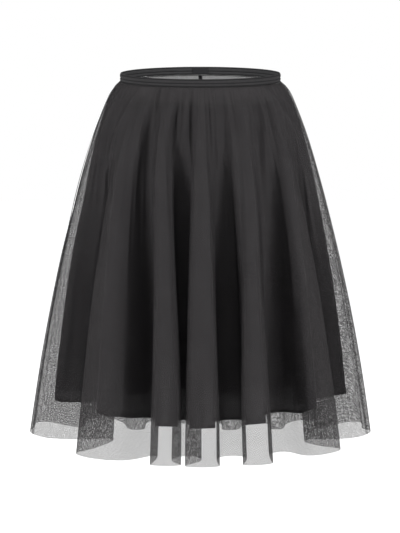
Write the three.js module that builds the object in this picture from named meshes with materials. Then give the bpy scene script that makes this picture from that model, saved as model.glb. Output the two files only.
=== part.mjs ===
// A knee-length tulle skirt, worn: an elastic waistband, a sheer outer layer of tulle and a
// shorter lining under it. Both layers are cut as wide flared panels and fall in deep soft folds.
// Millimetres. +X is the wearer's left as seen from the front (right in the picture), -Y is the
// front and +Z is up. The origin is the centre of the waist, half-way up the band.
import * as THREE from 'three';

// Driving sizes of the waistband
const WAIST_WIDTH = 256;
const WAIST_DEPTH = 190;
const BAND_HEIGHT = 13;
const BAND_WALL = 2.4;

// Driving sizes of the cloth
const TULLE_LENGTH = 593;
const LINING_DROP = 11;
const LINING_LENGTH = 528;
const CLOTH_WALL = 1.5;
const GAP = 0.3;

// The oval that the hem folds swing about, as half sizes
const HEM_HALF_WIDTH = 255;
const HEM_HALF_FRONT = 131;
const HEM_HALF_BACK = 140;

// The hem seen from above: one row for each fold, walking round from the left side, across the
// front, along the right side and the back. The cloth turns outwards round a circle at the
// crown of the fold, and then inwards round a circle in the valley that follows it.
const FOLD_COLUMNS = ['crownX', 'crownY', 'crownR', 'valleyX', 'valleyY', 'valleyR'];
const FOLDS = [
  [-247, 8, 30, -153, -14, 12],
  [-152, -122, 46, -76, -112, 8],
  [-55, -186, 25, -22, -126, 24],
  [3, -186, 28, 50, -124, 24],
  [91, -180, 24, 130, -102, 20],
  [192, -104, 32, 180, -20, 12],
  [247, 8, 30, 272, 41, 8],
  [236, 66, 30, 200, 92, 12],
  [166, 122, 27, 127, 112, 12],
  [92, 132, 24, 50, 116, 14],
  [8, 142, 29, -27, 166, 9],
  [-62, 146, 29, -106, 112, 14],
  [-156, 124, 33, -205, 98, 13],
  [-240, 60, 31, -278, 33, 6],
].map((row) => Object.fromEntries(FOLD_COLUMNS.map((name, i) => [name, row[i]])));
const FRONT_FOLD = 3;
const NOTCHES = [6, 13];

// How the cloth goes from the waist to the hem. A level runs from 0 at the waist to 1 at the hem.
const FLARE_POWER = 0.48;
const FLARE_START = 0.05;
const FOLD_POWER = 1.5;
const FOLD_EASE = 0.55;
const FOLD_EASE_POWER = 1.2;
const FULLNESS = 0.42;
const TWIST = THREE.MathUtils.degToRad(5);
const CROWN_DROP = 0.06;
const STEEPEST = 0.3;

// The lining stays closer to the body than the tulle, most of all at the sides. Its folds are
// the tulle's, in from it by the first ease all round and by the second one where they face
// sideways. The hang moves the cloth in further, square to itself. The valleys named above are
// shallow notches in the sides, which move in with them.
const LINING_EASE = 1.7;
const LINING_SIDE_EASE = 24;
const LINING_HANG = 2;
const EASE_FROM = 0.06;
const EASE_SPAN = 0.79;
const SIDE_FROM = 90;
const SIDE_SPAN = 150;

// Where the seams are, as places on the hem, and the levels of the rings
const LEFT_SEAM = [-270, -11];
const RIGHT_SEAM = [269, -12];
const BACK_SEAM = [36, 147];
const LINING_TOP = LINING_DROP / TULLE_LENGTH;
const LINING_END = (LINING_DROP + LINING_LENGTH) / TULLE_LENGTH;
const LEVELS = [0, LINING_TOP, 0.075, 0.17, 0.3, 0.47, 0.68, LINING_END, 1];
const LINING_LEVELS = [1, 7];

// How finely the shapes are worked out
const HEM_POINTS = 2048;
const CROWN_STEPS = 60;
const VALLEY_STEPS = 30;
const STRAIGHT_STEPS = 40;
const SOFTENING = 4;
const LENGTH_STEPS = 160;
const POINTS_ROUND = 180;
const LONGEST_SIDE = 19;
const SHARPEST_TURN = 0.75;
const NUDGE = 1 / HEM_POINTS;
const BAND_SIDES = 72;

// The plain patch inside the band at the centre back
const PATCH_WIDTH = 24;
const PATCH_HEIGHT = 11;
const PATCH_WALL = 0.9;
const PATCH_STEPS = 6;

// The band's outside, from its top edge down to the two rows of stitching that quilt it
const BAND_COLUMNS = ['belowTop', 'proud'];
const BAND_RELIEF = [
  [0, -0.5],
  [0.7, 0],
  [3.6, 0.5],
  [6.5, 0.1],
  [7.3, -0.5],
  [8.1, 0],
  [9.9, 0.3],
  [12, -0.1],
  [BAND_HEIGHT, -0.5],
].map((row) => Object.fromEntries(BAND_COLUMNS.map((name, i) => [name, row[i]])));

const along = (a, b, t) => a + (b - a) * t;
const smoothstep = (t) => {
  const s = Math.min(1, Math.max(0, t));
  return s * s * (3 - 2 * s);
};

// A point on an oval whose front and back halves may have different depths; 0 is the front
function oval(angle, halfWidth, halfFront, halfBack) {
  const c = Math.cos(angle);
  return [halfWidth * Math.sin(angle), -(c > 0 ? halfFront : halfBack) * c];
}

// The circles that the hem of the tulle runs round
const tulleCircles = () => FOLDS.flatMap((f) => [
  { x: f.crownX, y: f.crownY, r: f.crownR, turn: 1 },
  { x: f.valleyX, y: f.valleyY, r: f.valleyR, turn: -1 },
]);

// How far the lining stands in from the tulle where it faces sideways at a distance from the middle
const sideEase = (x) => LINING_SIDE_EASE * smoothstep((Math.abs(x) - SIDE_FROM) / SIDE_SPAN);

// The circles for the lining: smaller crowns and larger valleys. A crown at the side shrinks
// further, towards the corner of it that looks inwards along X and outwards along Y.
const liningCircles = () => tulleCircles().map((c, i) => {
  if (c.turn < 0) {
    const notch = NOTCHES.includes((i - 1) / 2) ? LINING_SIDE_EASE : 0;
    return { ...c, x: c.x - Math.sign(c.x) * notch, r: c.r + LINING_EASE };
  }
  const half = sideEase(Math.abs(c.x) + c.r) / 2;
  const outwards = Math.abs(c.x) > Math.abs(c.y) * 2 ? 0 : (Math.sign(c.y) * half) / 2;
  return { ...c, x: c.x - Math.sign(c.x) * half, y: c.y + outwards, r: c.r - LINING_EASE - half };
});

// A closed line like a belt that runs outside every crown circle and inside every valley
// circle, with straight cloth between them. Every arc and straight has its own number of
// steps, so two such lines match point for point.
function beltLine(circles) {
  const crossings = circles.map((a, i) => {
    const b = circles[(i + 1) % circles.length];
    const heading = Math.atan2(b.y - a.y, b.x - a.x);
    const lean = a.turn * Math.acos((a.r + b.r) / Math.hypot(b.x - a.x, b.y - a.y));
    return { leave: heading - lean, arrive: heading + Math.PI - lean };
  });
  const points = [];
  const onCircle = (c, angle) => [c.x + c.r * Math.cos(angle), c.y + c.r * Math.sin(angle)];
  circles.forEach((c, i) => {
    const from = crossings[(i + circles.length - 1) % circles.length].arrive;
    const { leave, arrive } = crossings[i];
    const full = 2 * Math.PI;
    const sweep = (((c.turn * (leave - from)) % full) + full) % full;
    const steps = c.turn > 0 ? CROWN_STEPS : VALLEY_STEPS;
    for (let k = 0; k < steps; k += 1) {
      points.push(onCircle(c, from + (c.turn * sweep * k) / steps));
    }
    const start = onCircle(c, leave);
    const end = onCircle(circles[(i + 1) % circles.length], arrive);
    for (let k = 0; k < STRAIGHT_STEPS; k += 1) {
      const t = k / STRAIGHT_STEPS;
      points.push([along(start[0], end[0], t), along(start[1], end[1], t)]);
    }
  });
  return points;
}

// How far along a closed line each of its points is
function distances(points) {
  const travelled = [0];
  points.forEach(([x0, y0], i) => {
    const [x1, y1] = points[(i + 1) % points.length];
    travelled.push(travelled[i] + Math.hypot(x1 - x0, y1 - y0));
  });
  return travelled;
}

// A closed line with its points moved to equal steps of the given distances
function evenly(points, travelled, count) {
  const n = points.length;
  const result = [];
  let i = 0;
  for (let k = 0; k < count; k += 1) {
    const target = (travelled[n] * k) / count;
    while (travelled[i + 1] <= target) {
      i += 1;
    }
    const t = (target - travelled[i]) / (travelled[i + 1] - travelled[i]);
    const b = points[(i + 1) % n];
    result.push([along(points[i][0], b[0], t), along(points[i][1], b[1], t)]);
  }
  return result;
}

// Softens the corners where an arc meets a straight: each point becomes the mean of five
function soften(points) {
  const n = points.length;
  return points.map((_, i) => [0, 1].map((axis) => (
    [-2, -1, 0, 1, 2].reduce((sum, d) => sum + points[(i + d + n) % n][axis], 0) / 5)));
}

function nearest(points, [x, y]) {
  const away = points.map((p) => Math.hypot(p[0] - x, p[1] - y));
  return away.indexOf(Math.min(...away));
}

// The hem lines of both layers, point for point, starting at the crown at the centre front
function hemLines() {
  let lines = [beltLine(tulleCircles()), beltLine(liningCircles())];
  const firstSteps = distances(lines[0]);
  lines = lines.map((line) => evenly(line, firstSteps, HEM_POINTS));
  for (let pass = 0; pass < SOFTENING; pass += 1) {
    lines = lines.map(soften);
  }
  const steps = distances(lines[0]);
  lines = lines.map((line) => evenly(line, steps, HEM_POINTS));
  const f = FOLDS[FRONT_FOLD];
  const start = nearest(lines[0], [f.crownX, f.crownY - f.crownR]);
  return lines.map((line) => line.map((_, i) => line[(i + start) % HEM_POINTS]));
}

const [TULLE_HEM, LINING_HEM] = hemLines();

// The point of a hem line at a share of the way round, counted from the centre front
function hemAt(line, share) {
  const place = (((share % 1) + 1) % 1) * HEM_POINTS;
  const i = Math.floor(place) % HEM_POINTS;
  const b = line[(i + 1) % HEM_POINTS];
  const t = place - Math.floor(place);
  return [along(line[i][0], b[0], t), along(line[i][1], b[1], t)];
}

// The bearing on the waist of the cloth that ends at a share of the hem. The front folds are
// deeper than the back ones, so they take more of the hem's length.
function bearing(share) {
  const a = 2 * Math.PI * (share > 0.5 ? share - 1 : share);
  return a - FULLNESS * Math.sin(a) + TWIST * (1 - Math.cos(a));
}

const flare = (level) => {
  const start = FLARE_START ** FLARE_POWER;
  return ((level + FLARE_START) ** FLARE_POWER - start) / ((1 + FLARE_START) ** FLARE_POWER - start);
};
const foldGrowth = (level) => {
  const grown = level ** FOLD_POWER;
  return grown / (grown + FOLD_EASE * (1 - level) ** FOLD_EASE_POWER);
};

// The plan of the outer cloth: an oval that widens from the waist to the hem, and on it the
// swing of the folds, which grows downwards
function planAt(share, level) {
  const angle = bearing(share);
  const hem = hemAt(TULLE_HEM, share);
  const mean = oval(angle, HEM_HALF_WIDTH, HEM_HALF_FRONT, HEM_HALF_BACK);
  const p = flare(level);
  const base = oval(
    angle,
    along(WAIST_WIDTH / 2, HEM_HALF_WIDTH, p),
    along(WAIST_DEPTH / 2, HEM_HALF_FRONT, p),
    along(WAIST_DEPTH / 2, HEM_HALF_BACK, p),
  );
  const g = foldGrowth(level);
  return [base[0] + g * (hem[0] - mean[0]), base[1] + g * (hem[1] - mean[1])];
}

// The heights of one thread of the cloth at the ring levels. Its length is fixed, so the further
// it travels outwards, the less it drops; the crowns of the folds hang a little longer.
function heights(share) {
  const angle = bearing(share);
  const hem = hemAt(TULLE_HEM, share);
  const mean = oval(angle, HEM_HALF_WIDTH, HEM_HALF_FRONT, HEM_HALF_BACK);
  const out = [Math.sin(angle) / HEM_HALF_WIDTH, -Math.cos(angle) / HEM_HALF_FRONT];
  const swing = ((hem[0] - mean[0]) * out[0] + (hem[1] - mean[1]) * out[1]) / Math.hypot(...out);
  const step = (TULLE_LENGTH + CROWN_DROP * swing) / LENGTH_STEPS;
  const z = [-BAND_HEIGHT / 2 - GAP];
  let [x0, y0] = planAt(share, 0);
  for (let i = 1; i <= LENGTH_STEPS; i += 1) {
    const [x1, y1] = planAt(share, i / LENGTH_STEPS);
    const sideways = Math.hypot(x1 - x0, y1 - y0);
    z.push(z[i - 1] - Math.sqrt(Math.max(step ** 2 - sideways ** 2, (STEEPEST * step) ** 2)));
    [x0, y0] = [x1, y1];
  }
  return LEVELS.map((level) => {
    const place = level * LENGTH_STEPS;
    const i = Math.min(LENGTH_STEPS - 1, Math.floor(place));
    return along(z[i], z[i + 1], place - i);
  });
}

// The way inwards, level, from the outer cloth at a place on it
function inwards(plan, share, level) {
  const [x0, y0] = plan(share - NUDGE, level);
  const [x1, y1] = plan(share + NUDGE, level);
  const size = Math.hypot(x1 - x0, y1 - y0);
  return [(y0 - y1) / size, (x1 - x0) / size];
}

// The plan of the lining's outside: just inside the tulle's wall, and further in downwards, by
// the space that there is between the two hem lines
function liningPlan(share, level) {
  const [x, y] = planAt(share, level);
  const [nx, ny] = inwards(planAt, share, level);
  const opened = Math.max(0, (level - EASE_FROM) / EASE_SPAN);
  const outer = hemAt(TULLE_HEM, share);
  const inner = hemAt(LINING_HEM, share);
  const inset = CLOTH_WALL + GAP + LINING_HANG * opened;
  return [
    x + nx * inset + opened * (inner[0] - outer[0]),
    y + ny * inset + opened * (inner[1] - outer[1]),
  ];
}

// How much shape there is between the centre front and each hem point: long straights and
// sharp turns both count, so the corners of the panels fall where they are needed
function hemEffort() {
  const effort = [0];
  for (let i = 0; i < HEM_POINTS; i += 1) {
    const [a, b, c] = [i - 2, i, i + 2].map((k) => hemAt(TULLE_HEM, k / HEM_POINTS));
    const bend = Math.atan2(c[1] - b[1], c[0] - b[0]) - Math.atan2(b[1] - a[1], b[0] - a[0]);
    const turn = Math.abs(Math.atan2(Math.sin(bend), Math.cos(bend))) / 2;
    const run = Math.hypot(c[0] - b[0], c[1] - b[1]) / 2;
    effort.push(effort[i] + run / LONGEST_SIDE + turn / SHARPEST_TURN);
  }
  return effort;
}

const EFFORT = hemEffort();
const ALL_EFFORT = EFFORT[HEM_POINTS];

// The effort spent up to a hem point, which may lie past the end of the line
const effortAt = (i) => (
  EFFORT[((i % HEM_POINTS) + HEM_POINTS) % HEM_POINTS] + ALL_EFFORT * Math.floor(i / HEM_POINTS));

// Shares of the hem for the corners of a panel that runs from one hem point to a later one
function panelShares(first, last) {
  const from = effortAt(first);
  const all = effortAt(last) - from;
  const steps = Math.round((POINTS_ROUND * all) / ALL_EFFORT);
  const shares = [];
  let i = first;
  for (let k = 0; k <= steps; k += 1) {
    while (i < last && effortAt(i) - from < (all * k) / steps - 1e-9) {
      i += 1;
    }
    shares.push(i / HEM_POINTS);
  }
  return shares;
}

// A closed solid over a grid of corner pairs, one on each face of a wall. Rows run downwards
// and columns run to the right as seen from outside.
function wallGeometry(outer, inner) {
  const rows = outer.length;
  const columns = outer[0].length;
  const position = [...outer.flat(2), ...inner.flat(2)];
  const index = [];
  const face = (a, b, c, d) => index.push(a, b, c, a, c, d);
  const out = (j, i) => j * columns + i;
  const inn = (j, i) => rows * columns + j * columns + i;
  for (let j = 0; j < rows - 1; j += 1) {
    for (let i = 0; i < columns - 1; i += 1) {
      face(out(j, i), out(j + 1, i), out(j + 1, i + 1), out(j, i + 1));
      face(inn(j, i), inn(j, i + 1), inn(j + 1, i + 1), inn(j + 1, i));
    }
    const end = columns - 1;
    face(out(j, 0), inn(j, 0), inn(j + 1, 0), out(j + 1, 0));
    face(out(j, end), out(j + 1, end), inn(j + 1, end), inn(j, end));
  }
  for (let i = 0; i < columns - 1; i += 1) {
    const last = rows - 1;
    face(out(0, i), out(0, i + 1), inn(0, i + 1), inn(0, i));
    face(out(last, i), inn(last, i), inn(last, i + 1), out(last, i + 1));
  }
  const geometry = new THREE.BufferGeometry();
  geometry.setAttribute('position', new THREE.Float32BufferAttribute(position, 3));
  geometry.setIndex(index);
  geometry.computeVertexNormals();
  return geometry;
}

// One panel of cloth between two seams. Its edges stop half a gap short of each seam.
function panelGeometry(plan, first, last, [firstLevel, lastLevel]) {
  const shares = panelShares(first, last);
  const faces = [[], []];
  const drops = shares.map(heights);
  for (let j = firstLevel; j <= lastLevel; j += 1) {
    const row = shares.map((share, i) => {
      const [x, y] = plan(share, LEVELS[j]);
      const [nx, ny] = inwards(plan, share, LEVELS[j]);
      const edge = (i === 0 ? 1 : 0) - (i === shares.length - 1 ? 1 : 0);
      const ex = (edge * ny * GAP) / 2;
      const ey = (-edge * nx * GAP) / 2;
      const z = drops[i][j];
      return [[x + ex, y + ey, z], [x + ex + nx * CLOTH_WALL, y + ey + ny * CLOTH_WALL, z]];
    });
    faces[0].push(row.map((pair) => pair[0]));
    faces[1].push(row.map((pair) => pair[1]));
  }
  return wallGeometry(...faces);
}

// The waistband: a closed oval ring whose outside swells between its rows of stitching
function bandGeometry() {
  const profile = [
    ...BAND_RELIEF.map(({ belowTop, proud }) => [proud, BAND_HEIGHT / 2 - belowTop]),
    [-BAND_WALL, -BAND_HEIGHT / 2],
    [-BAND_WALL, BAND_HEIGHT / 2],
  ];
  const position = [];
  const index = [];
  for (let i = 0; i < BAND_SIDES; i += 1) {
    const angle = (2 * Math.PI * i) / BAND_SIDES;
    for (const [proud, z] of profile) {
      const [x, y] = oval(angle, WAIST_WIDTH / 2 + proud, WAIST_DEPTH / 2 + proud, WAIST_DEPTH / 2 + proud);
      position.push(x, y, z);
    }
    const here = i * profile.length;
    const next = ((i + 1) % BAND_SIDES) * profile.length;
    profile.forEach((_, j) => {
      const k = (j + 1) % profile.length;
      index.push(here + j, here + k, next + k, here + j, next + k, next + j);
    });
  }
  const geometry = new THREE.BufferGeometry();
  geometry.setAttribute('position', new THREE.Float32BufferAttribute(position, 3));
  geometry.setIndex(index);
  geometry.computeVertexNormals();
  return geometry;
}

// The patch at the centre back: the band's inner face, moved in by the gap
function patchGeometry() {
  const faceAt = (inset) => [PATCH_HEIGHT / 2, -PATCH_HEIGHT / 2].map((z) => {
    const row = [];
    for (let i = 0; i <= PATCH_STEPS; i += 1) {
      const across = along(-PATCH_WIDTH / 2, PATCH_WIDTH / 2, i / PATCH_STEPS);
      const halfDepth = WAIST_DEPTH / 2 - inset;
      const angle = Math.PI - Math.asin(across / (WAIST_WIDTH / 2 - inset));
      row.push([...oval(angle, WAIST_WIDTH / 2 - inset, halfDepth, halfDepth), z]);
    }
    return row;
  });
  return wallGeometry(faceAt(BAND_WALL + GAP + PATCH_WALL), faceAt(BAND_WALL + GAP));
}

const TULLE = { color: 0x2a2a2c, roughness: 0.85, metalness: 0 };
const LINING = { color: 0x37373a, roughness: 0.75, metalness: 0 };
const BAND = { color: 0x313134, roughness: 0.8, metalness: 0 };
const PATCH = { color: 0x1c1c1e, roughness: 0.7, metalness: 0 };

const skirt = new THREE.Group();

function add(name, geometry, finish) {
  const mesh = new THREE.Mesh(geometry, new THREE.MeshStandardMaterial(finish));
  mesh.name = name;
  skirt.add(mesh);
}

// Seam places as points of the hem line. The front runs from the left seam across the centre
// front, so its first point is counted back past the start of the line.
const leftSeam = nearest(TULLE_HEM, LEFT_SEAM) - HEM_POINTS;
const rightSeam = nearest(TULLE_HEM, RIGHT_SEAM);
const backSeam = nearest(TULLE_HEM, BACK_SEAM);
const PANELS = {
  front: [leftSeam, rightSeam],
  back_right: [rightSeam, backSeam],
  back_left: [backSeam, leftSeam + HEM_POINTS],
};

for (const [side, [first, last]] of Object.entries(PANELS)) {
  add(`tulle_${side}`, panelGeometry(planAt, first, last, [0, LEVELS.length - 1]), TULLE);
  add(`lining_${side}`, panelGeometry(liningPlan, first, last, LINING_LEVELS), LINING);
}
add('waistband', bandGeometry(), BAND);
add('waist_patch', patchGeometry(), PATCH);

export default skirt;
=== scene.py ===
import math

import bpy
import numpy as np
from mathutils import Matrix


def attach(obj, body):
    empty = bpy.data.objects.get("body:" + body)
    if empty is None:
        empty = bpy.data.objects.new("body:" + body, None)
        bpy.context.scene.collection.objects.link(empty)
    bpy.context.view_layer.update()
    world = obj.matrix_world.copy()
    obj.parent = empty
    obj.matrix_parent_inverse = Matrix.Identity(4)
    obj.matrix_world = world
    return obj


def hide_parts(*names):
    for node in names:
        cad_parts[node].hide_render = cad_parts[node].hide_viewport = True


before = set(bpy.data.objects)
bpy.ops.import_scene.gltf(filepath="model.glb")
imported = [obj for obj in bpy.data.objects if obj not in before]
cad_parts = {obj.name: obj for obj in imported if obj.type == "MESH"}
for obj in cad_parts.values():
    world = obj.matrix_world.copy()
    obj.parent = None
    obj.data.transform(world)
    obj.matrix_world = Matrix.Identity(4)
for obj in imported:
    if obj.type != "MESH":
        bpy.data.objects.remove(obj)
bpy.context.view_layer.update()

# A worn tulle skirt: a sheer outer layer and a shorter lining, both flared and falling in deep
# folds from a stitched elastic waistband. Sizes are in millimetres up to the place where a mesh
# is made. The origin is the centre of the waist, half-way up the band; -Y is the front.
MM = 0.001

WAIST_WIDTH, WAIST_DEPTH, BAND_HEIGHT, BAND_WALL = 256, 190, 13, 2.4
TULLE_LENGTH, LINING_DROP, LINING_LENGTH = 593, 11, 528
WALL, GAP = 1.5, 0.3
HEM_HALF_WIDTH, HEM_HALF_FRONT, HEM_HALF_BACK = 255, 131, 140

# The hem seen from above, a row for each fold: the circle that the crown of the fold turns round
# and the circle of the valley after it, each as x, y, radius
FOLDS = np.array([
    [-247, 8, 30, -153, -14, 12],
    [-152, -122, 46, -76, -112, 8],
    [-55, -186, 25, -22, -126, 24],
    [3, -186, 28, 50, -124, 24],
    [91, -180, 24, 130, -102, 20],
    [192, -104, 32, 180, -20, 12],
    [247, 8, 30, 272, 41, 8],
    [236, 66, 30, 200, 92, 12],
    [166, 122, 27, 127, 112, 12],
    [92, 132, 24, 50, 116, 14],
    [8, 142, 29, -27, 166, 9],
    [-62, 146, 29, -106, 112, 14],
    [-156, 124, 33, -205, 98, 13],
    [-240, 60, 31, -278, 33, 6],
], dtype=float)
FRONT_FOLD, NOTCHES = 3, (6, 13)

FLARE_POWER, FLARE_START = 0.48, 0.05
FOLD_POWER, FOLD_EASE, FOLD_EASE_POWER = 1.5, 0.55, 1.2
FULLNESS, TWIST, CROWN_DROP, STEEPEST = 0.42, math.radians(5), 0.06, 0.3
LINING_EASE, LINING_SIDE_EASE, LINING_HANG = 1.7, 24, 2
EASE_FROM, EASE_SPAN, SIDE_FROM, SIDE_SPAN = 0.06, 0.79, 90, 150
LEFT_SEAM, RIGHT_SEAM, BACK_SEAM = (-270, -11), (269, -12), (36, 147)
LINING_TOP = LINING_DROP / TULLE_LENGTH
LINING_END = (LINING_DROP + LINING_LENGTH) / TULLE_LENGTH

HEM_POINTS, LENGTH_STEPS = 2048, 160
CROWN_STEPS, VALLEY_STEPS, STRAIGHT_STEPS, SOFTENING = 60, 30, 40, 4

# How thick the drawn shells are, and how the cloth was cut: the tulle as a half circle and the
# lining as a narrower sector. The tulle's seam allowances: their width and thickness, and how
# far inside the tulle they lie
TULLE_THICK, LINING_THICK = 0.4, 0.5
TULLE_SWEEP, LINING_SWEEP = math.pi, math.radians(150)
SEAM_WIDTH, SEAM_THICK, SEAM_OFF = 4.5, 0.35, 0.25

# The pieces' grids: columns all the way round, and rows from the waist down
TULLE_COLUMNS, TULLE_ROWS = 880, 94
LINING_COLUMNS, LINING_ROWS = 600, 90
SEAM_COLUMNS, SEAM_ROWS = 7, 150
BAND_COLUMNS, THREAD_SIDES, THREAD_STEPS = 360, 6, 6
PATCH_COLUMNS, PATCH_ROWS = 33, 17
# Between two columns, 4 mm of the hem's length counts as much as a turn of 0.2 radians
RUN_STEP, TURN_STEP = 4, 0.2


def smoothstep(t):
    """0 up to t = 0, 1 from t = 1, and a smooth rise between."""
    s = np.clip(t, 0, 1)
    return s * s * (3 - 2 * s)


def oval(angle, half_width, half_front, half_back):
    """A point at an angle from the front, on an oval with its own front and back depths."""
    c = np.cos(angle)
    return np.stack(np.broadcast_arrays(half_width * np.sin(angle),
                                        -np.where(c > 0, half_front, half_back) * c), -1)


def tulle_circles():
    """Crown and valley circles in turn, as rows of x, y, radius, turn."""
    rows = FOLDS.reshape(-1, 3)
    turn = np.tile([1.0, -1.0], len(FOLDS))
    return np.column_stack([rows, turn])


def lining_circles():
    """The tulle's circles with smaller crowns and larger valleys, moved in at the sides."""
    c = tulle_circles()
    crown = c[:, 3] > 0
    side = np.sign(c[:, 0])
    half = LINING_SIDE_EASE / 2 * smoothstep((np.abs(c[:, 0]) + c[:, 2] - SIDE_FROM) / SIDE_SPAN)
    half = np.where(crown, half, 0)
    notch = np.zeros(len(c))
    notch[[2 * i + 1 for i in NOTCHES]] = LINING_SIDE_EASE
    out = np.where(np.abs(c[:, 0]) > 2 * np.abs(c[:, 1]), 0, np.sign(c[:, 1]) * half / 2)
    moved = c.copy()
    moved[:, 0] -= side * (half + notch)
    moved[:, 1] += np.where(crown, out, 0)
    moved[:, 2] += np.where(crown, -LINING_EASE - half, LINING_EASE)
    return moved


def belt_line(c):
    """A closed belt outside every crown circle and inside every valley circle, with straight
    cloth between them along the crossed tangents."""
    n = np.roll(c, -1, axis=0)
    heading = np.arctan2(n[:, 1] - c[:, 1], n[:, 0] - c[:, 0])
    apart = np.hypot(n[:, 0] - c[:, 0], n[:, 1] - c[:, 1])
    lean = c[:, 3] * np.arccos((c[:, 2] + n[:, 2]) / apart)
    leave, arrive = heading - lean, heading + math.pi - lean
    start = np.roll(arrive, 1)
    sweep = (c[:, 3] * (leave - start)) % (2 * math.pi)
    parts = []
    for i, (x, y, r, turn) in enumerate(c):
        steps = CROWN_STEPS if turn > 0 else VALLEY_STEPS
        a = start[i] + turn * sweep[i] * np.arange(steps) / steps
        parts.append(np.column_stack([x + r * np.cos(a), y + r * np.sin(a)]))
        p = np.array([x + r * math.cos(leave[i]), y + r * math.sin(leave[i])])
        q = n[i, :2] + n[i, 2] * np.array([math.cos(arrive[i]), math.sin(arrive[i])])
        t = np.arange(STRAIGHT_STEPS)[:, None] / STRAIGHT_STEPS
        parts.append(p + (q - p) * t)
    return np.concatenate(parts)


def distances(line):
    """How far along a closed line each point is, with the whole length at the end."""
    step = np.linalg.norm(np.roll(line, -1, axis=0) - line, axis=1)
    return np.concatenate([[0], np.cumsum(step)])


def evenly(line, travelled, count):
    """The line's points moved to equal steps of the given distances."""
    closed = np.vstack([line, line[:1]])
    at = travelled[-1] * np.arange(count) / count
    return np.column_stack([np.interp(at, travelled, closed[:, k]) for k in (0, 1)])


def nearest(line, place):
    """The number of the line's point that is least far from a place."""
    return int(np.argmin(np.hypot(line[:, 0] - place[0], line[:, 1] - place[1])))


def hem_lines():
    """The hem of each layer, point for point, from the crown at the centre front."""
    lines = [belt_line(tulle_circles()), belt_line(lining_circles())]
    first = distances(lines[0])
    lines = [evenly(line, first, HEM_POINTS) for line in lines]
    for _ in range(SOFTENING):
        lines = [sum(np.roll(line, d, axis=0) for d in (-2, -1, 0, 1, 2)) / 5 for line in lines]
    steps = distances(lines[0])
    lines = [evenly(line, steps, HEM_POINTS) for line in lines]
    x, y, r = FOLDS[FRONT_FOLD, :3]
    start = nearest(lines[0], (x, y - r))
    return [np.roll(line, -start, axis=0) for line in lines]


TULLE_HEM, LINING_HEM = hem_lines()
HEM_LENGTH = distances(TULLE_HEM)[-1]
TULLE_RADIUS = HEM_LENGTH / TULLE_SWEEP


def hem_at(line, share):
    """The hem's point at a share of the way round, counted from the centre front."""
    place = np.mod(share, 1) * HEM_POINTS
    closed = np.vstack([line, line[:1]])
    at = np.arange(HEM_POINTS + 1)
    return np.stack([np.interp(place, at, closed[:, k]) for k in (0, 1)], -1)


def bearing(share):
    """The angle on the waist of the thread that ends at a share of the hem: the share's own
    angle less a part of its sine, so that the front and back are fuller, and a small twist."""
    turn = np.mod(share, 1)
    a = 2 * math.pi * np.where(turn > 0.5, turn - 1, turn)
    return a - FULLNESS * np.sin(a) + TWIST * (1 - np.cos(a))


def flare(level):
    """How far the skirt's oval has widened: 0 at the waist and 1 at the hem, and between them a
    power of the level, which rises fast at first."""
    start, end = FLARE_START ** FLARE_POWER, (1 + FLARE_START) ** FLARE_POWER
    return ((level + FLARE_START) ** FLARE_POWER - start) / (end - start)


def cloth_round(level):
    """How many millimetres of tulle there are for one turn at a level."""
    return HEM_LENGTH - TULLE_SWEEP * TULLE_LENGTH * (1 - level)


def fold_growth(level):
    """How far the folds have opened: 0 at the waist and 1 at the hem. It is a power of the level
    over the sum of itself and a power of what is left to the hem."""
    grown = level ** FOLD_POWER
    return grown / (grown + FOLD_EASE * np.clip(1 - level, 0, 1) ** FOLD_EASE_POWER)


def tulle_plan(share, level):
    """An oval that widens from the waist to the hem, and on it the swing of the folds, which
    grows downwards."""
    angle = bearing(share)
    p = flare(level)
    base = oval(angle, WAIST_WIDTH / 2 + (HEM_HALF_WIDTH - WAIST_WIDTH / 2) * p,
                WAIST_DEPTH / 2 + (HEM_HALF_FRONT - WAIST_DEPTH / 2) * p,
                WAIST_DEPTH / 2 + (HEM_HALF_BACK - WAIST_DEPTH / 2) * p)
    mean = oval(angle, HEM_HALF_WIDTH, HEM_HALF_FRONT, HEM_HALF_BACK)
    return base + fold_growth(level)[..., None] * (hem_at(TULLE_HEM, share) - mean)


def inwards(share, level):
    """The level direction inwards, square to the tulle."""
    nudge = 1 / HEM_POINTS
    d = tulle_plan(share + nudge, level) - tulle_plan(share - nudge, level)
    return np.stack([-d[..., 1], d[..., 0]], -1) / np.linalg.norm(d, axis=-1)[..., None]


def lining_plan(share, level):
    """Just inside the tulle, and further in downwards by the space between the two hems."""
    opened = np.clip((level - EASE_FROM) / EASE_SPAN, 0, None)[..., None]
    apart = hem_at(LINING_HEM, share) - hem_at(TULLE_HEM, share)
    return (tulle_plan(share, level) + inwards(share, level) * (WALL + GAP + LINING_HANG * opened)
            + opened * apart)


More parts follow.
